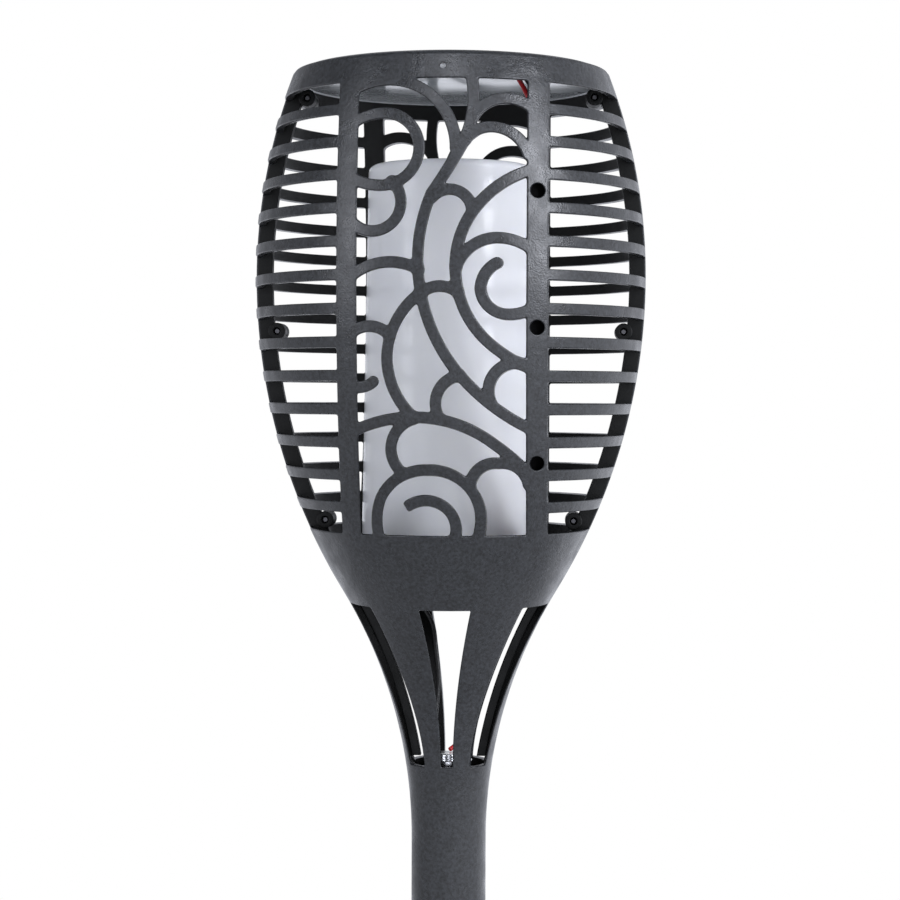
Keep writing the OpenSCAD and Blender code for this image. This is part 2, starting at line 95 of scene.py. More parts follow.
# Scrollwork: each stroke is a chain of arcs. Every second point is shared by two arcs, and the points
# between are where each arc bulges to. x is across the window, the second number is height above the sill.
STROKES = [
    [(-24.5, 129.5), (-5.2, 128), (4, 111)],
    [(8.2, 132), (8.8, 123), (6.3, 113), (2.1, 105.4), (-2.7, 98), (-6.4, 82), (-5.2, 68), (-1.5, 57.3),
     (4.3, 48), (13.3, 39), (25, 31.5)],
    [(-24.5, 119.7), (-20.7, 121.1), (-16.8, 121.5), (-6.4, 111), (-16.8, 100.5), (-20.7, 100.9),
     (-24.5, 102.2)],
    [(-14.2, 101.7), (-13.1, 90.6), (-24.5, 89.2)],
    [(9, 120.5), (16.8, 125.7), (25, 123.7)],
    [(6.8, 113.5), (10.3, 116.4), (15.3, 117.2), (20.8, 115), (24.6, 109.5)],
    [(25, 105), (16.8, 100.8), (9.5, 93.6), (5, 84), (4.3, 75), (7.3, 64), (13.8, 55.7), (18.8, 52),
     (25, 48.8)],
    [(-2.2, 97), (2.3, 99.1), (8.6, 94.5)],
    [(-5.2, 70), (-0.7, 71.7), (4.8, 70)],
    [(4.6, 77.5), (8, 82.4), (15.8, 85.5), (20.3, 85), (25, 82.9)],
    [(16, 78.4), (12.8, 75.6), (11.3, 71), (13.5, 66.2), (18.8, 63.9), (21.8, 64.1), (25, 65.2)],
    [(-24.5, 75.7), (-15.7, 78.6), (-6.2, 76.5)],
    [(-5.7, 69.8), (-13.1, 61), (-15.4, 51), (-13.7, 43), (-8.5, 35.2)],
    [(-24.5, 59.5), (-20.2, 60.5), (-14.7, 58)],
    [(-24.5, 43.2), (-21.9, 43.4), (-19.5, 44.7)],
    [(-24.5, 31), (-15.7, 33.8), (-6.7, 34.6), (6.3, 32), (15.3, 26.8), (20.3, 22.8), (25, 18)],
    [(5.3, 46.5), (-0.6, 42.2), (-0.5, 34.5)],
    [(23.5, 49.9), (15.7, 47.6), (14, 39.5)],
    [(-8.2, 34), (-12.7, 30.8), (-14.6, 25.5), (-13.9, 22), (-11.7, 18.8)],
    [(-18.8, -1), (-19.3, 5.5), (-17.9, 11.2), (-12.7, 17), (-4, 19.4), (6.7, 15.6), (11.2, 6), (11, 2.5),
     (10.2, -1)],
    [(-9.7, 9), (-4.5, 10.5), (1.1, 8.4), (3.6, 4.5), (3.4, -1)],
    [(8.3, 15.5), (11.3, 20.2), (16.3, 21.4), (21.8, 20), (25, 15)],
]
SQUARE_END = (-9.7, 9)          # the one free end that is cut square
SQUARE_END_OUT = (-0.86, -0.5)  # direction in which the stroke leaves there
SQUARE_END_REACH = 1.1
WEDGE = ((17, 24), (25, 18.5), (25, 15), (21.8, 20), (16.5, 21.5))


# ---- the head's outline ----
def head_radius(z, inset=0.0):
    """Radius of the head at height z, with its outline moved inwards by inset."""
    z = np.asarray(z, float)
    join = BELLY_Z - (LOWER_ARC - inset) * neck_dz / (LOWER_ARC + NECK_ARC)
    upper = HEAD_R - UPPER_ARC + np.sqrt(np.clip((UPPER_ARC - inset) ** 2 - (z - BELLY_Z) ** 2, 0, None))
    lower = HEAD_R - LOWER_ARC + np.sqrt(np.clip((LOWER_ARC - inset) ** 2 - (z - BELLY_Z) ** 2, 0, None))
    hollow = NECK_R + NECK_ARC - np.sqrt(np.clip((NECK_ARC + inset) ** 2 - (z - NECK_Z) ** 2, 0, None))
    return np.select([z > BELLY_Z, z > join, z > NECK_Z], [upper, lower, hollow], NECK_R - inset)


def head_slope(z):
    return (head_radius(z + 0.05) - head_radius(z - 0.05)) / 0.1


# ---- distances that lay out the openings; positive inside the material or feature ----
def arc_distance(x, z, a, b, c):
    """Distance from points to the arc that starts at a, passes b and ends at c."""
    (ax, az), (bx, bz), (cx, cz) = a, b, c
    px, pz, qx, qz = bx - ax, bz - az, cx - ax, cz - az
    d = 2 * (px * qz - pz * qx)
    pp, qq = px * px + pz * pz, qx * qx + qz * qz
    ox, oz = ax + (qz * pp - pz * qq) / d, az + (px * qq - qx * pp) / d
    radius = math.hypot(ax - ox, az - oz)
    turn = -1 if d < 0 else 1
    start = math.atan2(az - oz, ax - ox)
    sweep = (turn * (math.atan2(cz - oz, cx - ox) - start)) % (2 * math.pi)
    along = (turn * (np.arctan2(z - oz, x - ox) - start)) % (2 * math.pi)
    on_arc = np.abs(np.hypot(x - ox, z - oz) - radius)
    ends = np.minimum(np.hypot(x - ax, z - az), np.hypot(x - cx, z - cz))
    return np.where(along <= sweep, on_arc, ends)


def polygon_distance(x, z, corners):
    """Signed distance to a convex polygon, positive inside; corners run clockwise."""
    inside = np.full(np.shape(x), np.inf)
    for (ax, az), (bx, bz) in zip(corners, corners[1:] + corners[:1]):
        length = math.hypot(bx - ax, bz - az)
        inside = np.minimum(inside, ((z - az) * (bx - ax) - (x - ax) * (bz - az)) / -length)
    return inside


def rounded_box(dx, dz, r):
    """Signed distance, positive inside, for a box whose sides are dx and dz away, with corner radius r."""
    qx, qz = r - dx, r - dz
    return r - np.hypot(np.maximum(qx, 0), np.maximum(qz, 0)) - np.minimum(np.maximum(qx, qz), 0)


def soft_max(a, b, k):
    """The larger of two distances, with a fillet of about k where they meet."""
    h = np.clip(0.5 + (a - b) / (2 * k), 0, 1)
    return b + (a - b) * h + k * h * (1 - h)


# ---- edges: each opening's edge is rounded over its own width ----
EDGE = 0.4          # rounding of ordinary edges
RIM_EDGE = 1.5      # rounding of the top rim
SEAM_EDGE = 0.16    # rounding at the seam, which leaves a fine groove
FILLET = 0.8        # fillet where strokes meet
LEVELS = (0.0, 0.3, 1.0)   # shares of the rounding's width where the mesh has a line of points
FAR_INSIDE = 9.0    # stands for no edge nearby
OPENING_CORNER = 0.5
SLAT_CORNER = 0.7
HOLE_EDGE = 0.3
DRAIN_EDGE = 0.2
NECK_EDGE = 0.7
DEEPEST_OUTSIDE, DEEPEST_INSIDE = 1.2, 0.35     # how far the rounding may sink each face
MID_SLOT = (1.8, 6, 1.8)        # half width at the foot, gain up to the top, and the gain's power
SIDE_SLOT = (6.9, 16, 1.55)     # the same for the inner edge of the openings beside it
FLAT_R = 60.0       # radius that turns angles into lengths


def window_material(x, z):
    """Distance into the frame round the scroll window and into its strokes."""
    h = z - SILL_Z
    field = -rounded_box(WINDOW_X - np.abs(x), np.minimum(h, BAND_Z - SILL_Z - h), OPENING_CORNER)
    for stroke in STROKES:
        d = np.full(np.shape(x), np.inf)
        for i in range(0, len(stroke) - 2, 2):
            d = np.minimum(d, arc_distance(x, h, *stroke[i : i + 3]))
        inside = STROKE_W / 2 - d
        if stroke[0] == SQUARE_END:
            beyond = (x - SQUARE_END[0]) * SQUARE_END_OUT[0] + (h - SQUARE_END[1]) * SQUARE_END_OUT[1]
            near = np.hypot(x - SQUARE_END[0], h - SQUARE_END[1]) < 1.6 * STROKE_W
            inside = np.where(near, np.minimum(inside, SQUARE_END_REACH - beyond), inside)
        field = soft_max(field, inside, FILLET)
    return np.maximum(field, polygon_distance(x, h, list(WEDGE)))


def slat_material(x, y, z):
    """Distance into the slats, the posts' outer sides and the seam ribs."""
    pitch = SLAT_H + SLAT_GAP
    level = (z - SILL_Z) % pitch
    in_gap = np.minimum(level, SLAT_GAP - level)
    up_down = np.where(level < SLAT_GAP, in_gap, -np.minimum(level - SLAT_GAP, pitch - level))
    up_down = np.where((z < SILL_Z) | (z > BAND_Z), -np.maximum(SILL_Z - z, z - BAND_Z), up_down)
    side = np.minimum((np.abs(x) - WINDOW_X - POST_W) / np.clip(-y / FLAT_R, 0.35, 1),
                      (-y - RIB_T) / np.clip(np.abs(x) / FLAT_R, 0.35, 1))
    return -rounded_box(side, up_down, SLAT_CORNER)


def strut_material(x, y, z):
    """Distance into the struts below the bowl."""
    t = np.clip((z - STRUT_END_Z) / (STRUT_TOP_Z - STRUT_END_Z), 0, 1)
    up_down = np.minimum(z - STRUT_END_Z, STRUT_TOP_Z - z)
    mid_half, side_inner = (foot + gain * t**power for foot, gain, power in (MID_SLOT, SIDE_SLOT))
    centre = rounded_box(mid_half - np.abs(x), up_down, OPENING_CORNER)
    inner = np.abs(x) - side_inner
    r = head_radius(z)
    outer = np.minimum((r - 1.8 + 1.5 * t - np.abs(x)) / np.clip(-y / r, 0.3, 1), -y - RIB_T)
    return -np.maximum(centre, rounded_box(np.minimum(inner, outer), up_down, OPENING_CORNER))


def shell_field(phi, z, with_holes):
    """Share of the local rounding width that a point lies inside the material, and that width."""
    r = head_radius(z)
    x, y = r * np.sin(phi), -r * np.cos(phi)
    inside = np.abs(phi) < math.radians(89)
    near = inside & (np.abs(x) < WINDOW_X + 4) & (z > SILL_Z - 4)
    window = np.full(np.shape(x), FAR_INSIDE)
    window[near] = window_material(x[near], z[near])
    parts = [
        (window, EDGE),
        (slat_material(x, y, z), EDGE),
        (strut_material(x, y, z), EDGE),
        (r * (math.pi / 2 - np.abs(phi)), SEAM_EDGE),
        (RIM_Z - z, RIM_EDGE),
        (z - NECK_END_Z, NECK_EDGE),
    ]
    if with_holes:
        for h in POST_HOLES:
            hole = np.hypot(x - WINDOW_X - POST_W / 2, z - SILL_Z - h) - POST_HOLE_R
            parts.append((hole, HOLE_EDGE))
        parts.append((np.hypot(x, z - DRAIN_Z) - DRAIN_R, DRAIN_EDGE))
    shares = [np.asarray(d) / e for d, e in parts]
    field = np.minimum.reduce(shares)
    weight = [np.exp(-5 * np.clip(s - field, 0, 9)) for s in shares]
    width = sum(w * e for w, (_, e) in zip(weight, parts)) / sum(weight)
    return field, width


# ---- outlines of a field on a grid ----
def trace_outlines(field, us, vs, level):
    """Closed lines, as lists of points in (u, v), where the field passes the level."""
    f = field - level
    above = f > 0
    links = {}

    def cut(i, j, di, dj):
        a, b = f[i, j], f[i + di, j + dj]
        t = a / (a - b)
        return us[i] + t * di * (us[1] - us[0]), vs[j] + t * dj * (vs[1] - vs[0])

    points = {}
    mixed = above[:-1, :-1].astype(int) + above[1:, :-1] + above[:-1, 1:] + above[1:, 1:]
    for i, j in zip(*np.nonzero((mixed > 0) & (mixed < 4))):
        i, j = int(i), int(j)
        sides = [(i, j, 1, 0), (i + 1, j, 0, 1), (i, j + 1, 1, 0), (i, j, 0, 1)]
        cuts = [s for s in sides if above[s[0], s[1]] != above[s[0] + s[2], s[1] + s[3]]]
        for s in cuts:
            points.setdefault(s, cut(*s))
        if len(cuts) == 4:
            middle = f[i : i + 2, j : j + 2].mean() > 0
            first = (0, 3) if above[i, j] != middle else (0, 1)
            rest = [k for k in range(4) if k not in first]
            pairs = [(cuts[first[0]], cuts[first[1]]), (cuts[rest[0]], cuts[rest[1]])]
        else:
            pairs = [(cuts[0], cuts[1])]
        for a, b in pairs:
            links.setdefault(a, []).append(b)
            links.setdefault(b, []).append(a)
    lines, used = [], set()
    for start in links:
        if start in used:
            continue
        line, here, before = [], start, None
        while here not in used:
            used.add(here)
            line.append(points[here])
            onward = [n for n in links[here] if n != before]
            before, here = here, onward[0]
        lines.append(line)
    return lines


def thin_line(points, to_space, tolerance):
    """Drops the points of a closed line that its shape in space doesn't need."""
    space = to_space(np.array(points))
    n = len(points)
    keep = {0, n // 2}
    stack = [(0, n // 2), (n // 2, n)]
    while stack:
        a, b = stack.pop()
        if b - a < 2:
            continue
        p, q = space[a], space[b % n]
        mid = space[a + 1 : b]
        d = q - p
        length = np.linalg.norm(d)
        off = np.linalg.norm(np.cross(mid - p, d), axis=1) / length if length > 1e-9 else \
            np.linalg.norm(mid - p, axis=1)
        worst = int(off.argmax())
        if off[worst] > tolerance:
            k = a + 1 + worst
            keep.add(k)
            stack += [(a, k), (k, b)]
    return [points[k] for k in sorted(keep)]


# ---- the half shell as a mesh ----
# Towards the seam the walls of the openings turn from radial to square with the seam's plane.
TURN_FROM, TURN_OVER = math.radians(40), math.radians(50)


def shell_point(phi, z, depth, inner):
    """Point on the outer or inner face, sunk by depth, and the face's normal there."""
    r = head_radius(z)
    slope = head_slope(z)
    if inner:
        k = np.clip((np.abs(phi) - TURN_FROM) / TURN_OVER, 0, 1)
        k = k * k * (3 - 2 * k)
        r_in = head_radius(z, WALL) + (SOCKET_R - NECK_R + WALL) * (z < POLE_STOP_Z)
        x = r * np.sin(phi) - np.sign(phi) * k * (r - r_in)
        x = np.clip(x, -r_in, r_in)
        phi = np.arcsin(x / r_in)
        r = r_in
    scale = 1 / np.sqrt(1 + slope**2)
    normal = np.stack([np.sin(phi) * scale, -np.cos(phi) * scale, -slope * scale], -1)
    if inner:
        normal = -normal
    point = np.stack([r * np.sin(phi), -r * np.cos(phi), z * np.ones_like(phi)], -1)
    return point - normal * np.asarray(depth)[..., None], normal


def half_shell_mesh(with_holes):
    """Flat points, triangles and each point's rounding share of one half shell: every opening's edge is traced
    at each rounding level and triangulated between.
    """
    step, tolerance, spacing, clearance, fewest = 0.35, 0.012, 3.0, 0.7, 8
    phis = np.arange(-math.pi / 2 - 2.5 * step / FLAT_R, math.pi / 2 + 3 * step / FLAT_R, step / FLAT_R)
    zs = np.arange(NECK_END_Z - 2.37 * step, RIM_Z + 3 * step, step)
    pg, zg = np.meshgrid(phis, zs, indexing="ij")
    field, _ = shell_field(pg, zg, with_holes)

    def to_space(uv):
        return shell_point(uv[:, 0], uv[:, 1], np.zeros(len(uv)), False)[0]

    points, edges, shares = [], [], []
    for level in LEVELS:
        for line in trace_outlines(field, phis, zs, level):
            if len(line) < fewest:
                continue
            line = thin_line(line, to_space, tolerance)
            base = len(points)
            n = len(line)
            points += [(u * FLAT_R, v) for u, v in line]
            shares += [level] * n
            edges += [(base + i, base + (i + 1) % n) for i in range(n)]
    gp, gz = np.meshgrid(np.arange(-92, 93, spacing) / FLAT_R, np.arange(NECK_END_Z + 1, RIM_Z, spacing),
                         indexing="ij")
    gp, gz = gp.ravel(), gz.ravel()
    grid_field, grid_width = shell_field(gp, gz, with_holes)
    good = (grid_field - 1) * grid_width > clearance
    points += [(u * FLAT_R, v) for u, v in zip(gp[good], gz[good])]
    shares += [1.0] * int(good.sum())

    verts, _, tris, origin, _, _ = delaunay_2d_cdt([Vector(p) for p in points], edges, [], 0, 1e-6)
    uv = np.array([tuple(v) for v in verts]) / (FLAT_R, 1)
    tris = np.array([t for t in tris if len(t) == 3])
    centre = uv[tris].mean(1)
    tris = tris[shell_field(centre[:, 0], centre[:, 1], with_holes)[0] > 0]
    own = np.array([shares[o[0]] if o else np.nan for o in origin])
    free = np.isnan(own)
    if free.any():
        own[free] = np.clip(shell_field(uv[free, 0], uv[free, 1], with_holes)[0], 0, 1)
    return uv, tris, own


def edge_normals(uv, with_holes, inner_minus_outer):
    """Direction out of the material at each point, square to the wall behind it."""
    e = 0.04
    r = head_radius(uv[:, 1])

    def f(u, v):
        return np.clip(shell_field(u, v, with_holes)[0], -3, 3)

    du = (f(uv[:, 0] + e / r, uv[:, 1]) - f(uv[:, 0] - e / r, uv[:, 1]))[:, None]
    dv = (f(uv[:, 0], uv[:, 1] + e) - f(uv[:, 0], uv[:, 1] - e))[:, None]
    slope = head_slope(uv[:, 1])[:, None]
    phi = uv[:, 0:1]
    round_dir = np.hstack([np.cos(phi), np.sin(phi), 0 * phi])
    up_dir = np.hstack([slope * np.sin(phi), -slope * np.cos(phi), 1 + 0 * phi]) / np.sqrt(1 + slope**2)
    out = -(du * round_dir + dv * up_dir)
    wall = inner_minus_outer / np.linalg.norm(inner_minus_outer, axis=1, keepdims=True)
    out = out - (out * wall).sum(1, keepdims=True) * wall
    return out / np.maximum(np.linalg.norm(out, axis=1, keepdims=True), 1e-9)


def half_shell(with_holes):
    uv, tris, share = half_shell_mesh(with_holes)
    phi, z = uv[:, 0], uv[:, 1]
    _, width = shell_field(phi, z, with_holes)
    lean = np.sqrt(np.clip(1 - (1 - share) ** 2, 0, 1))
    outer, outer_n = shell_point(phi, z, np.minimum(width, DEEPEST_OUTSIDE) * (1 - lean), False)
    inner, inner_n = shell_point(phi, z, np.minimum(width, DEEPEST_INSIDE) * (1 - lean), True)
    out = edge_normals(uv, with_holes, inner - outer)
    mix, flat = (1 - share)[:, None], lean[:, None]
    normals = np.vstack([out * mix + outer_n * flat, out * mix + inner_n * flat])
    n = len(uv)
    a, b, c = uv[tris[:, 0]], uv[tris[:, 1]], uv[tris[:, 2]]
    turned = np.cross(b - a, c - a) < 0
    tris[turned] = tris[turned][:, ::-1]
    count = {}
    for t in tris.tolist():
        for i, j in ((t[0], t[1]), (t[1], t[2]), (t[2], t[0])):
            count[(i, j)] = count.get((i, j), 0) + 1
    rim = [(i, j) for (i, j) in count if (j, i) not in count]
    faces = tris.tolist() + (tris[:, ::-1] + n).tolist() + [[j, i, i + n, j + n] for i, j in rim]
    used = sorted({i for f in faces for i in f})
    index = {old: new for new, old in enumerate(used)}
    verts = np.vstack([outer, inner])[used]
    return verts, [[index[i] for i in f] for f in faces], normals[used]


# ---- small meshes, each a list of vertices in millimetres and a list of faces ----
def join_meshes(parts):
    verts, faces = [], []
    for v, f in parts:
        base = len(verts)
        verts += [tuple(map(float, p)) for p in v]
        faces += [[i + base for i in face] for face in f]
    return verts, faces


def lathe(profile, segments=96):
    """Turns a closed outline of (radius, z) points round Z; points on the axis become one vertex."""
    verts, rings = [], []
    for r, z in profile:
        if r < 1e-6:
            rings.append([len(verts)] * segments)
            verts.append((0, 0, z))
        else:
            rings.append(list(range(len(verts), len(verts) + segments)))
            for k in range(segments):
                a = 2 * math.pi * k / segments
                verts.append((r * math.cos(a), r * math.sin(a), z))
    faces = []
    for i, ring in enumerate(rings):
        after = rings[(i + 1) % len(rings)]
        if ring[0] == ring[1] and after[0] == after[1]:
            continue
        for k in range(segments):
            j = (k + 1) % segments
            face = [ring[k], ring[j], after[j], after[k]]
            faces.append([v for n, v in enumerate(face) if v not in face[:n]])
    return verts, faces


def rounded(corners, radii, steps=5):
    """A closed outline whose corners are rounded with arcs; a radius of 0 leaves a corner sharp."""
    out = []
    n = len(corners)
    for i, (corner, radius) in enumerate(zip(corners, radii)):
        p = np.array(corner, float)
        if radius <= 0:
            out.append(tuple(p))
            continue
        a, b = np.array(corners[i - 1], float) - p, np.array(corners[(i + 1) % n], float) - p
        a, b = a / np.linalg.norm(a), b / np.linalg.norm(b)
        half = math.acos(np.clip(a @ b, -1, 1)) / 2
        middle = p + (a + b) / np.linalg.norm(a + b) * radius / math.sin(half)
        start, end = p + a * radius / math.tan(half) - middle, p + b * radius / math.tan(half) - middle
        spread = math.acos(np.clip(start @ end / radius**2, -1, 1))
        for k in range(steps + 1):
            t = k / steps
            d = (start * math.sin((1 - t) * spread) + end * math.sin(t * spread)) / math.sin(spread)
            out.append(tuple(middle + d))
    return out


def disc(r, z0, z1, edge=0.3, hole=0.0):
    """Plate or tube round the axis with softened edges."""
    if hole:
        return lathe(rounded([(hole, z0), (r, z0), (r, z1), (hole, z1)], [edge] * 4))
    return lathe(rounded([(0, z0), (r, z0), (r, z1), (0, z1)], [0, edge, edge, 0]))


def half_ring(r0, r1, z0, z1, segments=48):
    """Half of a plain ring, on the side of -Y; with r0 of 0 it is a half disc."""
    section = [(max(r0, 0.01), z0), (r1, z0), (r1, z1), (max(r0, 0.01), z1)]
    verts, faces = [], []
    for k in range(segments + 1):
        a = -math.pi * (k * 0.998 / segments + 0.001)
        verts += [(r * math.cos(a), r * math.sin(a), z) for r, z in section]
    for k in range(segments):
        for i in range(4):
            j = (i + 1) % 4
            faces.append([4 * k + i, 4 * k + j, 4 * k + 4 + j, 4 * k + 4 + i])
    return verts, faces + [[3, 2, 1, 0], [4 * segments + i for i in range(4)]]


def swept(sections):
    """Skin over closed sections that all have the same number of points, with flat ends."""
    n = len(sections[0])
    verts = [p for section in sections for p in section]
    faces = []
    for k in range(len(sections) - 1):
        for i in range(n):
            j = (i + 1) % n
            faces.append([n * k + i, n * k + j, n * k + n + j, n * k + n + i])
    last = n * (len(sections) - 1)
    return verts, faces + [list(range(n))[::-1], [last + i for i in range(n)]]


def smooth_route(points, steps=6):
    """The same curve that the frame's wires follow: cubic pieces through given points."""
    pts = [np.array(p, float) for p in points]
    out = []
    for i in range(len(pts) - 1):
        a, b = pts[i], pts[i + 1]
        ta = (b - (a if i == 0 else pts[i - 1])) / 6
        tb = ((b if i == len(pts) - 2 else pts[i + 2]) - a) / 6
        for k in range(steps):
            t = k / steps
            out.append((1 - t) ** 3 * a + 3 * (1 - t) ** 2 * t * (a + ta) + 3 * (1 - t) * t * t * (b - tb)
                       + t**3 * b)
    return out + [pts[-1]]


OFF_ROUTE = (0.12, 1, 0.07)     # a direction that no wire runs in


def wire(points, r, sides=14):
    path = smooth_route(points)
    sections = []
    for i, p in enumerate(path):
        d = path[min(i + 1, len(path) - 1)] - path[max(i - 1, 0)]
        d = d / np.linalg.norm(d)
        u = np.cross(d, OFF_ROUTE)
        u = u / np.linalg.norm(u)
        v = np.cross(d, u)
        turn = [2 * math.pi * k / sides for k in range(sides)]
        sections.append([p + r * (math.cos(a) * u + math.sin(a) * v) for a in turn])
    return swept(sections)


def placed(mesh, matrix, offset=(0, 0, 0)):
    """The mesh turned by a 3x3 matrix and moved."""
    verts = np.array(mesh[0], float) @ np.array(matrix, float).T + offset
    return verts, mesh[1]


def about_z(degrees):
    a = math.radians(degrees)
    return [[math.cos(a), -math.sin(a), 0], [math.sin(a), math.cos(a), 0], [0, 0, 1]]


TO_MINUS_Y = [[1, 0, 0], [0, 0, -1], [0, 1, 0]]     # turns +Z to -Y
TO_PLUS_Y = [[1, 0, 0], [0, 0, 1], [0, -1, 0]]      # turns +Z to +Y
UPSIDE_DOWN = [[1, 0, 0], [0, -1, 0], [0, 0, -1]]


# ---- pieces ----
def new_object(name, mesh, materials, normals=None, face_materials=None, smooth_angle=30):
    """Makes a Blender object from a mesh in millimetres."""
    data = bpy.data.meshes.new(name)
    verts, faces = mesh
    data.from_pydata([tuple(float(c) * MM for c in v) for v in verts], [], faces)
    for m in materials:
        data.materials.append(m)
    data.validate()
    if face_materials is not None:
        data.polygons.foreach_set("material_index", np.array(face_materials, np.int32))
    data.shade_smooth()
    obj = bpy.data.objects.new(name, data)
    bpy.context.scene.collection.objects.link(obj)
    if normals is None:
        fix_normals(data)
        data.set_sharp_from_angle(angle=math.radians(smooth_angle))
    else:
        data.normals_split_custom_set_from_vertices(normals)
    return obj


def fix_normals(data):
    bm = bmesh.new()
    bm.from_mesh(data)
    bmesh.ops.recalc_face_normals(bm, faces=bm.faces)
    bm.to_mesh(data)
    bm.free()


def piece(name, mesh, material, body, slot, node=None, **options):
    """A new piece that stands for one CAD node and rides on that node's body."""
    obj = new_object(name, mesh, material if isinstance(material, list) else [material], **options)
    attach(obj, body)
    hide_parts(node or name.removesuffix("_piece"))
    return obj


def join_objects(objs):
    bpy.ops.object.select_all(action="DESELECT")
    for o in objs:
        o.select_set(True)
    bpy.context.view_layer.objects.active = objs[0]
    bpy.ops.object.join()
    return objs[0]


# ---- materials ----
def srgb(r, g, b):
    def linear(c):
        c /= 255
        return c / 12.92 if c <= 0.04045 else ((c + 0.055) / 1.055) ** 2.4
    return linear(r), linear(g), linear(b), 1.0


def new_material(name, **uniform):
    """A Principled material; uniform sets sockets that are the same all over."""
    mat = bpy.data.materials.new(name)
    mat.use_nodes = True
    shader = mat.node_tree.nodes["Principled BSDF"]
    for key, value in uniform.items():
        shader.inputs[key.replace("_", " ")].default_value = value
    return mat, shader


def texture(mat, kind, scale, **settings):
    nodes, links = mat.node_tree.nodes, mat.node_tree.links
    place = nodes.new("ShaderNodeTexCoord")
    tex = nodes.new(kind)
    tex.inputs["Scale"].default_value = scale
    for key, value in settings.items():
        if key in tex.inputs:
            tex.inputs[key].default_value = value
        else:
            setattr(tex, key, value)
    links.new(place.outputs["Object"], tex.inputs["Vector"])
    return tex.outputs[0]


def mapped(mat, value, low, high, to_low, to_high):
    node = mat.node_tree.nodes.new("ShaderNodeMapRange")
    for key, number in (("From Min", low), ("From Max", high), ("To Min", to_low), ("To Max", to_high)):
        node.inputs[key].default_value = number
    mat.node_tree.links.new(value, node.inputs["Value"])
    return node.outputs[0]


def vary_colour(mat, shader, factor, dark, light):
    mix = mat.node_tree.nodes.new("ShaderNodeMix")
    mix.data_type = "RGBA"
    mix.inputs[6].default_value = dark
    mix.inputs[7].default_value = light
    mat.node_tree.links.new(factor, mix.inputs[0])
    mat.node_tree.links.new(mix.outputs[2], shader.inputs["Base Color"])


def bumpy(mat, shader, heights, strength, distance):
    """Bump from one or more (height, share) pairs added together."""
    nodes, links = mat.node_tree.nodes, mat.node_tree.links
    total = None
    for value, share in heights:
        scaled = nodes.new("ShaderNodeMath")
        scaled.operation = "MULTIPLY_ADD"
        scaled.inputs[1].default_value = share
        links.new(value, scaled.inputs[0])
        if total is not None:
            links.new(total, scaled.inputs[2])
        else:
            scaled.inputs[2].default_value = 0.0
        total = scaled.outputs[0]
    bump = nodes.new("ShaderNodeBump")
    bump.inputs["Strength"].default_value = strength
    bump.inputs["Distance"].default_value = distance
    links.new(total, bump.inputs["Height"])
    links.new(bump.outputs["Normal"], shader.inputs["Normal"])


def moulded_plastic(name, dark, light, roughness, grain=0.25, spread=0.06, specular=0.5):
    """Injection-moulded plastic: speckle, spark-eroded grain, faint flow marks and an uneven sheen."""
    mat, shader = new_material(name, Specular_IOR_Level=specular)
    flow = texture(mat, "ShaderNodeTexNoise", 55.0, Detail=3.0, Roughness=0.55, Distortion=0.6)
    grains = texture(mat, "ShaderNodeTexNoise", 1900.0, Detail=2.0)
    waves = texture(mat, "ShaderNodeTexNoise", 160.0, Detail=1.0)
    speckle = texture(mat, "ShaderNodeTexNoise", 1000.0, Detail=3.0, Roughness=0.7)
    vary_colour(mat, shader, mapped(mat, speckle, 0.35, 0.65, 0.0, 1.0), dark, light)
    rough = mapped(mat, waves, 0.3, 0.7, roughness - spread, roughness + spread)
    mat.node_tree.links.new(rough, shader.inputs["Roughness"])
    bumpy(mat, shader, [(grains, 1.8), (waves, 1.5), (flow, 9.0)], grain, 0.00008)
    return mat


def metal(name, colour, roughness, brushed=300.0):
    mat, shader = new_material(name, Metallic=1.0)
    marks = texture(mat, "ShaderNodeTexNoise", brushed, Detail=4.0, Roughness=0.7)
    darker = tuple(0.8 * c for c in colour[:3]) + (1.0,)
    vary_colour(mat, shader, mapped(mat, marks, 0.3, 0.7, 0.0, 1.0), darker, colour)
    rough = mapped(mat, marks, 0.3, 0.7, roughness - 0.05, roughness + 0.1)
    mat.node_tree.links.new(rough, shader.inputs["Roughness"])
    bumpy(mat, shader, [(marks, 1.0)], 0.15, 0.00005)
    return mat


def soft_vinyl(name, dark, light):
    mat, shader = new_material(name, Coat_Weight=0.15, Coat_Roughness=0.2)
    marks = texture(mat, "ShaderNodeTexNoise", 400.0, Detail=2.0)
    vary_colour(mat, shader, mapped(mat, marks, 0.35, 0.65, 0.0, 1.0), dark, light)
    mat.node_tree.links.new(mapped(mat, marks, 0.3, 0.7, 0.3, 0.45), shader.inputs["Roughness"])
    bumpy(mat, shader, [(marks, 1.0)], 0.2, 0.00005)
    return mat


def diffuser_material():
    """Milky polypropylene: faint gloss, light scattered a little way in, faint flow lines."""
    mat, shader = new_material("milky_diffuser", Specular_IOR_Level=0.15, Subsurface_Weight=0.6,
                               Subsurface_Scale=0.01, Coat_Weight=0.1, Coat_Roughness=0.05)
    shader.inputs["Subsurface Radius"].default_value = (1.0, 1.0, 1.2)
    flow = texture(mat, "ShaderNodeTexNoise", 30.0, Detail=2.0, Distortion=0.8)
    fine = texture(mat, "ShaderNodeTexNoise", 1500.0, Detail=1.0)
    vary_colour(mat, shader, mapped(mat, flow, 0.35, 0.65, 0.0, 1.0), srgb(236, 238, 250), srgb(242, 244, 254))
    mat.node_tree.links.new(mapped(mat, flow, 0.3, 0.7, 0.1, 0.16), shader.inputs["Roughness"])
    bumpy(mat, shader, [(fine, 0.2), (flow, 5.0)], 0.25, 0.00006)
    return mat


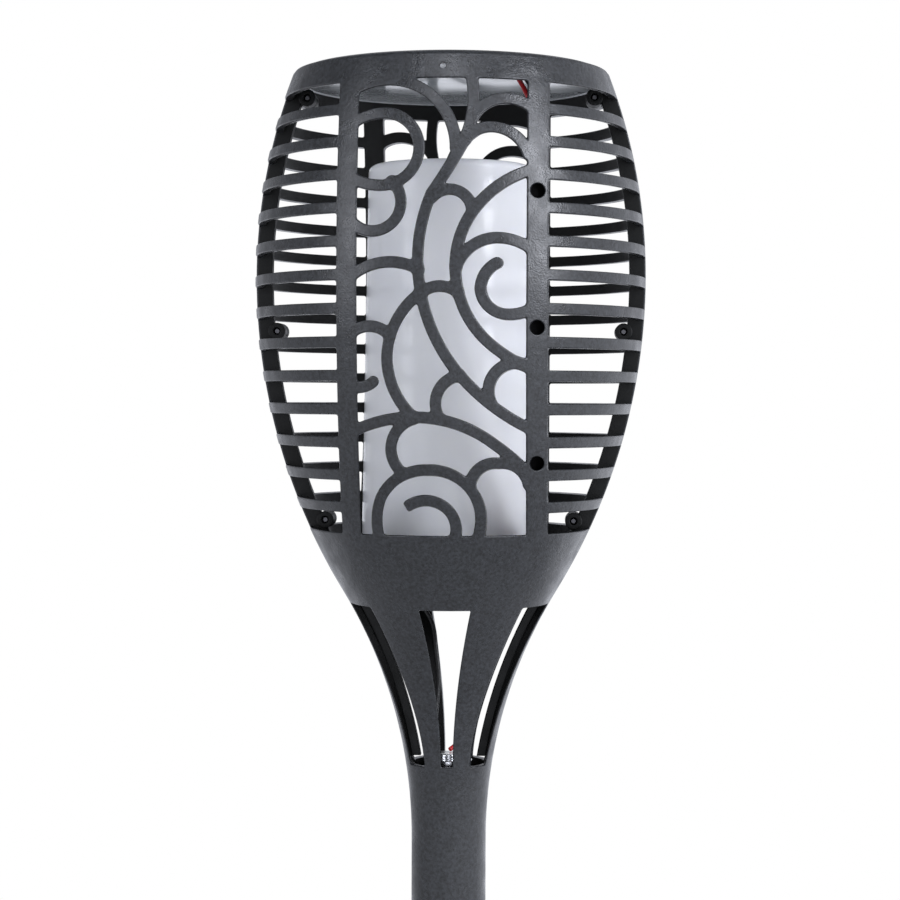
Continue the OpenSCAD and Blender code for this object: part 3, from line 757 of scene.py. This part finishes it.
def laminate(name, dark, light, roughness, pitch):
    """Lacquered board with a faint weave of glass fibres."""
    mat, shader = new_material(name, Coat_Weight=0.3, Coat_Roughness=0.12)
    weave = texture(mat, "ShaderNodeTexVoronoi", pitch, feature="F1", distance="CHEBYCHEV")
    marks = texture(mat, "ShaderNodeTexNoise", 60.0, Detail=3.0)
    vary_colour(mat, shader, mapped(mat, marks, 0.35, 0.65, 0.0, 1.0), dark, light)
    rough = mapped(mat, marks, 0.3, 0.7, roughness, roughness + 0.1)
    mat.node_tree.links.new(rough, shader.inputs["Roughness"])
    bumpy(mat, shader, [(weave, 1.0), (marks, 3.0)], 0.2, 0.00004)
    return mat


def solar_material():
    """Polycrystalline silicon: blue-black flakes crossed by fine silver fingers."""
    mat, shader = new_material("solar_silicon", Coat_Weight=0.6, Coat_Roughness=0.05)
    nodes, links = mat.node_tree.nodes, mat.node_tree.links
    flakes = texture(mat, "ShaderNodeTexVoronoi", 260.0, feature="F1")
    place = nodes.new("ShaderNodeTexCoord")
    split = nodes.new("ShaderNodeSeparateXYZ")
    links.new(place.outputs["Object"], split.inputs[0])
    finger = nodes.new("ShaderNodeMath")
    finger.operation = "PINGPONG"
    finger.inputs[1].default_value = 0.0012
    links.new(split.outputs["Y"], finger.inputs[0])
    vary_colour(mat, shader, mapped(mat, flakes, 0.0, 0.9, 0.0, 1.0), srgb(14, 18, 48), srgb(30, 40, 92))
    base = shader.inputs["Base Color"].links[0].from_socket
    mix = nodes.new("ShaderNodeMix")
    mix.data_type = "RGBA"
    mix.inputs[7].default_value = srgb(150, 156, 170)
    links.new(base, mix.inputs[6])
    links.new(mapped(mat, finger.outputs[0], 0.00007, 0.00009, 1.0, 0.0), mix.inputs[0])
    links.new(mix.outputs[2], shader.inputs["Base Color"])
    links.new(mapped(mat, flakes, 0.0, 1.0, 0.2, 0.35), shader.inputs["Roughness"])
    return mat


def resin_material():
    mat, shader = new_material("clear_resin", Transmission_Weight=1.0, IOR=1.46)
    shader.inputs["Base Color"].default_value = (0.93, 0.95, 0.96, 1.0)
    dust = texture(mat, "ShaderNodeTexNoise", 90.0, Detail=4.0)
    mat.node_tree.links.new(mapped(mat, dust, 0.4, 0.7, 0.02, 0.09), shader.inputs["Roughness"])
    bumpy(mat, shader, [(dust, 1.0)], 0.05, 0.0001)
    return mat


charcoal = moulded_plastic("charcoal_plastic", srgb(8, 9, 10), srgb(37, 39, 42), 0.31, 0.6, 0.08, 0.42)
# The same moulded plastic made near-black and less glossy: painted shade for the inside of the head.
shade_dark_plastic = moulded_plastic("inner_plastic_painted_shade", srgb(7, 8, 7), srgb(11, 12, 11), 0.45, specular=0.2)
# Near-black with almost no sheen, darker than real black plastic: painted shade, used on the wire duct.
black_painted_shade = moulded_plastic("black_painted_shade", srgb(1, 1, 1), srgb(3, 3, 3), 0.8, specular=0.05)
dark_plastic = moulded_plastic("dark_plastic", srgb(20, 21, 22), srgb(27, 28, 29), 0.45)
white_plastic = moulded_plastic("white_plastic", srgb(214, 214, 210), srgb(224, 224, 220), 0.4)
screw_steel = metal("blackened_steel", (0.16, 0.16, 0.17, 1), 0.4)
plated_steel = metal("nickel_plate", (0.72, 0.72, 0.7, 1), 0.25)
cell_wrap = metal("battery_can", (0.74, 0.75, 0.77, 1), 0.22)
red_vinyl = soft_vinyl("red_vinyl", srgb(168, 22, 28), srgb(186, 30, 34))
black_vinyl = soft_vinyl("black_vinyl", srgb(18, 18, 18), srgb(28, 28, 28))
milky = diffuser_material()
panel_back = laminate("panel_back", srgb(170, 174, 175), srgb(196, 200, 200), 0.1, 900.0)
white_laminate = laminate("white_laminate", srgb(222, 222, 216), srgb(232, 232, 228), 0.3, 900.0)
circuit_green = laminate("circuit_green", srgb(16, 74, 38), srgb(24, 92, 50), 0.3, 900.0)
glue = soft_vinyl("clear_glue", srgb(196, 199, 200), srgb(214, 216, 216))
silicon = solar_material()
resin = resin_material()
led_yellow = moulded_plastic("led_phosphor", srgb(236, 196, 90), srgb(244, 208, 110), 0.35)


# ---- the two half shells ----
def seam_rib(side):
    """Bar along the seam of a front half, following the outline."""
    chamfer = 0.3
    y0, y1 = -RIB_T + 0.05, -0.06
    sections = []
    for z in np.linspace(STRUT_END_Z + 2, PANEL_Z - 1.2, 70):
        outer = head_radius(z, 0.45)
        inner = head_radius(z, RIB_DEPTH)
        ring = [(inner + chamfer, y0), (outer, y0), (outer, y1), (inner + chamfer, y1),
                (inner, y1 - chamfer), (inner, y0 + chamfer)]
        sections.append([(side * x, y, z) for x, y in ring])
    return swept(sections)


def screw_boss(z, x, hole_r):
    tube = disc(BOSS_R, 0.05, BOSS_L, edge=0.25, hole=hole_r)
    return placed(tube, TO_MINUS_Y, (x, 0, z))


def shell_details(hole_r):
    """Everything inside a half shell: ribs, screw bosses, the lamp's ledge and the neck's webs."""
    parts = [seam_rib(side) for side in (-1, 1)]
    parts += [screw_boss(z, side * x, hole_r) for z, x in SCREW_SITES for side in (-1, 1)]
    ledge_z = node_box("lamp_base")[1][2] - 7.0
    ledge_r = head_radius(ledge_z - 3)
    parts.append(half_ring(ledge_r - 4.5, ledge_r - 1.2, ledge_z - 3, ledge_z - 0.1))
    battery_z = node_box("battery_tabs")[0][2]
    for z in (POLE_STOP_Z, battery_z - 3):
        parts.append(half_ring(0, NECK_R - 1.5, z, z + 2.95))
    return join_meshes(parts)


def shell_piece(name, with_holes, half_turn):
    verts, faces, normals = half_shell(with_holes)
    painted_shade_faces = inner_shade_share(verts, faces, normals)
    if half_turn:
        verts, normals = verts * (-1, -1, 1), normals * (-1, -1, 1)
    # Faces of the inner skin get the second, darkened material: painted shade.
    skin = new_object(name + "_skin", (verts, faces), [charcoal, shade_dark_plastic], normals=normals.tolist(),
                      face_materials=painted_shade_faces)
    details = shell_details(SCREW_R if with_holes else SCREW_R + 0.15)
    if half_turn:
        details = placed(details, about_z(180))
    # Ribs, bosses, ledge and webs take the darkened plastic too: painted shade.
    inside = new_object(name + "_inside", details, [shade_dark_plastic])
    obj = join_objects([skin, inside])
    obj.name = name + "_moulding"
    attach(obj, "head")
    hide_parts(name)
    return obj


def inner_shade_share(verts, faces, normals):
    """1 for faces of the inner skin, which looks towards the axis and takes the darkened plastic that paints
    shade, and 0 for the rest.
    """
    out = []
    for face in faces:
        n = normals[face].mean(0)
        p = verts[face].mean(0)
        away = n[0] * p[0] + n[1] * p[1]
        out.append(1 if away < -0.6 * math.hypot(p[0], p[1]) else 0)
    return out


front = shell_piece("front_shell", True, False)
rear = shell_piece("rear_shell", False, True)


# ---- screws ----
def screw_mesh(shank_r, shank_l, head_r, head_t, name):
    """Pan-head screw with a cross recess; the head's underside is at 0 and the shank points down."""
    point_l, over = 0.8, 0.2
    corners = [(0, -shank_l), (shank_r * 0.6, -shank_l), (shank_r, point_l - shank_l), (shank_r, 0),
               (head_r, 0), (head_r, head_t), (0, head_t)]
    body = new_object(name, lathe(rounded(corners, [0, 0, 0, 0, 0.12, 0.55, 0]), 32), [])
    for turn in (0, 90):
        w, l = head_r * 0.16, head_r * 0.62
        tip = head_t * 0.25
        blade = swept([[(-l * 0.6, -w * 0.7, tip), (l * 0.6, -w * 0.7, tip), (l * 0.6, w * 0.7, tip),
                        (-l * 0.6, w * 0.7, tip)],
                       [(-l, -w, head_t + over), (l, -w, head_t + over), (l, w, head_t + over),
                        (-l, w, head_t + over)]])
        cutter = new_object(name + "_cut", placed(blade, about_z(turn)), [])
        cut = body.modifiers.new("recess", "BOOLEAN")
        cut.object = cutter
        cut.operation = "DIFFERENCE"
        cut.solver = "EXACT"
        bpy.context.view_layer.objects.active = body
        bpy.ops.object.modifier_apply(modifier=cut.name)
        bpy.data.objects.remove(cutter)
    verts = [tuple(v.co / MM) for v in body.data.vertices]
    faces = [list(f.vertices) for f in body.data.polygons]
    bpy.data.objects.remove(body)
    return verts, faces


seam_screw = screw_mesh(SCREW_R, 9.8, 2.1, 1.4, "seam_screw")
piece("seam_screws_piece",
      join_meshes([placed(seam_screw, TO_PLUS_Y, (side * x, BOSS_L + 0.02, z))
                   for z, x in SCREW_SITES for side in (-1, 1)]),
      screw_steel, "head", "screw_steel")


def screws_from_below(name, material, slot, shank_r, head_r, head_t, shank_l, distance, angles):
    """A ring of screws that go up into the pillars of the lamp's base."""
    underside = node_box(name)[0][2] + head_t
    one = screw_mesh(shank_r, shank_l, head_r, head_t, name + "_one")
    one = placed(one, UPSIDE_DOWN, (distance, 0, underside))
    piece(name + "_piece", join_meshes([placed(one, about_z(a)) for a in angles]), material, "head", slot)


screws_from_below("board_screws", plated_steel, "plated_steel", 0.9, 1.8, 1.2, 5.0, 17.0, (30, 150, 270))
screws_from_below("cover_screws", screw_steel, "screw_steel", 0.9, 2.0, 1.3, 7.0, 24.0, (90, 210, 330))

# ---- solar panel ----
board_low, board_high = node_box("panel_board")
glass_high = node_box("panel_glass")[1]
cells_high = node_box("solar_cells")[1]
PANEL_R = board_high[0]
piece("panel_board_piece", disc(PANEL_R, board_low[2], board_high[2], 0.25), panel_back, "head", "panel_back")
piece("panel_glass_piece", disc(PANEL_R - 0.05, cells_high[2] + 0.05, glass_high[2], 0.5), resin, "head",
      "panel_resin")
seal_low, seal_high = node_box("panel_seal")
seal_profile = [(PANEL_R + 0.02, seal_low[2] + 0.35), (head_radius(seal_low[2], WALL) - 1.2, seal_low[2]),
                (head_radius(seal_low[2], WALL) - 0.12, seal_low[2] + 0.5),
                (head_radius(seal_high[2], WALL) - 0.12, seal_high[2]), (PANEL_R + 0.02, seal_high[2] - 0.6)]
piece("panel_seal_piece", lathe(rounded(seal_profile, [0.2, 0.5, 0.3, 0.2, 0.3])), glue, "head", "glue")

# ---- lamp ----
lamp_low, lamp_high = node_box("diffuser")
LAMP_R, LAMP_TOP_R, LAMP_T, LAMP_EDGE = lamp_high[0], 25.3, 1.6, 2.5
lamp_profile = [(LAMP_R - LAMP_T, lamp_low[2]), (LAMP_R, lamp_low[2]), (LAMP_TOP_R, lamp_high[2]),
                (0, lamp_high[2]), (0, lamp_high[2] - LAMP_T), (LAMP_TOP_R - LAMP_T, lamp_high[2] - LAMP_T)]
piece("diffuser_piece", lathe(rounded(lamp_profile, [0.3, 0.3, LAMP_EDGE, 0, 0, 1.2], 8), 160), milky, "head",
      "frosted_diffuser")

# ---- battery ----
cell_low, cell_high = node_box("battery_cell")
CELL_R = cell_high[0]
can_top = cell_high[2] - 1.5
can = [(0, cell_low[2]), (CELL_R - 0.6, cell_low[2]), (CELL_R, cell_low[2] + 0.6), (CELL_R, can_top - 3.2),
       (CELL_R - 0.45, can_top - 2.5), (CELL_R, can_top - 1.8), (CELL_R, can_top), (3.2, can_top),
       (3.2, cell_high[2]), (0, cell_high[2])]
piece("battery_cell_piece", lathe(rounded(can, [0, 0.3, 0.3, 0.3, 0.3, 0.3, 0.7, 0.3, 0.5, 0])), cell_wrap,
      "head", "cell_wrap")

# ---- leads: the routes that the frame's wires follow ----
BOARD_Z, BOARD_TOP_Z = (corner[2] for corner in node_box("control_board"))
LEAD_R = 0.7
LEAD_X = 1.1
LEAD_END = 0.4
PANEL_ROUTE = [(20.8, -33.5, PANEL_Z - LEAD_END), (23.3, -38, 611.5), (25.4, -40, 607), (27.3, -40.8, 601),
               (27.3, -41.8, 596), (27.3, -45.7, 575), (27.3, -46.8, 557), (27.3, -45.3, 535),
               (27.3, -39.7, 510), (27.3, -30, 487), (27, -24, 477), (24.4, -21.4, 474), (22.9, -20, 471),
               (22.2, -19.4, 468.3), (19.5, -17, 466.3), (13, -11, BOARD_TOP_Z + LEAD_END)]
BATTERY_RED_ROUTE = [(0.3, 0, 411.1), (3, 3, 413.5), (5.5, 7, 420), (7, 11, 430), (8.5, 14.5, 441),
                     (10.5, 16.8, 450), (12, 16, 458.5), (11, 14.5, BOARD_Z - LEAD_END)]
BATTERY_BLACK_ROUTE = [(-5.5, 6.1, 361), (-5.5, 6.1, 385), (-5.5, 6.2, 404), (-5.2, 7.5, 412),
                       (-4.4, 11, 424), (-4, 13, 432), (-4.9, 14.4, 441), (-6, 16.2, 448),
                       (-8.6, 16.9, 453), (-12, 16, 458.5), (-11, 14.5, BOARD_Z - LEAD_END)]


def lead(name, route, material, slot, dx=0.0):
    piece(name + "_piece", wire([(x + dx, y, z) for x, y, z in route], LEAD_R), material, "head", slot,
          smooth_angle=60)


lead("panel_red_lead", PANEL_ROUTE, red_vinyl, "red_wire", -LEAD_X)
lead("panel_black_lead", PANEL_ROUTE, black_vinyl, "black_wire", LEAD_X)
lead("battery_red_lead", BATTERY_RED_ROUTE, red_vinyl, "red_wire")
lead("battery_black_lead", BATTERY_BLACK_ROUTE, black_vinyl, "black_wire")


# ---- pole and spike ----
def pole(name, body):
    low, high = node_box(name)
    piece(name + "_piece", disc(high[0], low[2], high[2], 0.5, hole=high[0] - 2.0), charcoal, body,
          "shell_plastic")


pole("upper_pole", "upper_pole")
pole("lower_pole", "lower_pole")
POLE_R = node_box("upper_pole")[1][0]
plug_low, plug_high = node_box("pole_coupler")
joint_z = node_box("lower_pole")[1][2]
PLUG_R = POLE_R - 2.08
plug = [(PLUG_R - 1.8, plug_low[2]), (PLUG_R + 0.08, plug_low[2]), (PLUG_R + 0.08, joint_z), (PLUG_R, joint_z),
        (PLUG_R, plug_high[2]), (PLUG_R - 1.8, plug_high[2])]
piece("pole_coupler_piece", lathe(rounded(plug, [0.3, 0.3, 0, 0, 1.0, 0.4])), dark_plastic, "lower_pole",
      "dark_plastic")


def spike_fin(tip_z, turn):
    """One flat fin of the spike, tapering to the tip, with bevelled edges."""
    half_t, bevel = 1.5, 0.6
    outline = [(-13, -0.2), (-13, -25), (-5, tip_z + 30), (0, tip_z), (5, tip_z + 30), (13, -25), (13, -0.2)]

    def pulled_in(d):
        return [(x - math.copysign(min(d, abs(x)), x), max(z, tip_z + 2.2 * d)) for x, z in outline]

    layers = [(-half_t, bevel), (bevel - half_t, 0.0), (half_t - bevel, 0.0), (half_t, bevel)]
    fin = swept([[(x, y, z) for x, z in pulled_in(d)] for y, d in layers])
    return placed(fin, about_z(turn))


spike_low, spike_high = node_box("ground_spike")
COLLAR_R = 17.0
COLLAR_T = node_box("lower_pole")[0][2] - 0.3
collar = [(0, 0), (COLLAR_R, 0), (COLLAR_R, COLLAR_T), (PLUG_R, COLLAR_T), (PLUG_R, spike_high[2]),
          (PLUG_R - 2, spike_high[2]), (PLUG_R - 2, COLLAR_T + 1), (0, COLLAR_T + 1)]
spike_parts = [lathe(rounded(collar, [0, 0.6, 1.2, 0.4, 1.0, 0.4, 0, 0]))]
spike_parts += [spike_fin(spike_low[2], turn) for turn in (0, 90)]
piece("ground_spike_piece", join_meshes(spike_parts), charcoal, "spike", "shell_plastic")

# ---- frame nodes that keep their own shape and get a material ----
KEPT_NODES = {
    # The wire duct takes the near-black that paints shade.
    "wire_duct": black_painted_shade, "solar_cells": silicon, "lamp_base": dark_plastic,
    "led_column": white_plastic, "led_board": white_laminate, "leds": led_yellow,
    "control_board": circuit_green, "board_chips": dark_plastic, "base_cover": dark_plastic,
    "switch_body": dark_plastic, "switch_button": dark_plastic, "battery_tabs": plated_steel,
}
for name, material in KEPT_NODES.items():
    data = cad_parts[name].data
    data.materials.clear()
    data.materials.append(material)


# ---- floor, light and camera ----
LIGHT_TINT = (0.95, 0.975, 1.06)
# The surroundings' strength: each row adds a ramp along a direction, from its low end to its high end.
SURROUND_RAMPS = (((0, 0, 1), 1.2, 0.6), ((0, 1, 0), 0.8, 0.4), ((0.7, 0, -0.7), -0.85, 0.15))
RAMP_REACH = 0.8


def floor_disc():
    floor_r, floor_z = 1150.0, spike_low[2] - 0.5
    mat, shader = new_material("pale_floor")
    shader.inputs["Base Color"].default_value = srgb(236, 236, 236)
    marks = texture(mat, "ShaderNodeTexNoise", 8.0, Detail=3.0)
    mat.node_tree.links.new(mapped(mat, marks, 0.3, 0.7, 0.6, 0.75), shader.inputs["Roughness"])
    floor = new_object("floor", lathe([(0, floor_z - 5), (floor_r, floor_z - 5), (floor_r, floor_z),
                                       (0, floor_z)], 64), [mat])


def area_light(name, place, aim, size, watts):
    light = bpy.data.lights.new(name, "AREA")
    light.shape = "RECTANGLE"
    light.size, light.size_y = (s * MM for s in size)
    light.energy = watts
    light.color = LIGHT_TINT
    obj = bpy.data.objects.new(name, light)
    bpy.context.scene.collection.objects.link(obj)
    obj.location = Vector(place) * MM
    obj.rotation_euler = (Vector(aim) - Vector(place)).to_track_quat("-Z", "Y").to_euler()


def studio():
    """White backdrop, surroundings that light less from the upper left and behind, three soft boxes."""
    world = bpy.data.worlds.new("studio")
    bpy.context.scene.world = world
    world.use_nodes = True
    nodes, links = world.node_tree.nodes, world.node_tree.links
    backdrop = nodes["Background"]
    backdrop.inputs["Color"].default_value = (1, 1, 1, 1)
    surround = nodes.new("ShaderNodeBackground")
    surround.inputs["Color"].default_value = LIGHT_TINT + (1,)
    place = nodes.new("ShaderNodeTexCoord")
    total = None
    for toward, low, high in SURROUND_RAMPS:
        along = nodes.new("ShaderNodeVectorMath")
        along.operation = "DOT_PRODUCT"
        along.inputs[1].default_value = toward
        links.new(place.outputs["Generated"], along.inputs[0])
        ramp = nodes.new("ShaderNodeMapRange")
        limits = {"From Min": -RAMP_REACH, "From Max": RAMP_REACH, "To Min": low, "To Max": high}
        for key, number in limits.items():
            ramp.inputs[key].default_value = number
        links.new(along.outputs["Value"], ramp.inputs["Value"])
        if total is None:
            total = ramp.outputs[0]
        else:
            added = nodes.new("ShaderNodeMath")
            added.operation = "ADD"
            links.new(total, added.inputs[0])
            links.new(ramp.outputs[0], added.inputs[1])
            total = added.outputs[0]
    links.new(total, surround.inputs["Strength"])
    rays = nodes.new("ShaderNodeLightPath")
    mix = nodes.new("ShaderNodeMixShader")
    links.new(rays.outputs["Is Camera Ray"], mix.inputs[0])
    links.new(surround.outputs[0], mix.inputs[1])
    links.new(backdrop.outputs[0], mix.inputs[2])
    links.new(mix.outputs[0], nodes["World Output"].inputs["Surface"])
    head_centre = (0, 0, 560)
    area_light("box_right", (760, -520, 880), head_centre, (260, 640), 8)
    area_light("box_above", (0, -720, 1260), head_centre, (600, 260), 2.5)
    area_light("box_left", (-760, -520, 830), head_centre, (260, 700), 3)


def camera():
    """Looks square at the head from slightly below its middle, as if held 0.68 m away."""
    distance, height = 680.0, 521.0
    azimuth, tilt, roll = math.radians(2.8), math.radians(-1.43), math.radians(-0.2)
    forward = Vector((-math.sin(azimuth) * math.cos(tilt), math.cos(azimuth) * math.cos(tilt),
                      math.sin(tilt)))
    right = Vector((math.cos(azimuth), math.sin(azimuth), 0))
    up = right.cross(forward)
    across = right * math.cos(roll) - up * math.sin(roll)
    upward = right * math.sin(roll) + up * math.cos(roll)
    data = bpy.data.cameras.new("camera")
    data.sensor_width, data.lens = 36.0, 88.0
    data.clip_start, data.clip_end = 0.01, 20.0
    cam = bpy.data.objects.new("camera", data)
    bpy.context.scene.collection.objects.link(cam)
    turn = Matrix((across, upward, -forward)).transposed()
    place = Vector((distance * math.sin(azimuth), -distance * math.cos(azimuth), height)) * MM
    cam.matrix_world = Matrix.Translation(place) @ turn.to_4x4()
    bpy.context.scene.camera = cam


floor_disc()
studio()
camera()
bpy.context.scene.view_settings.view_transform = "Standard"
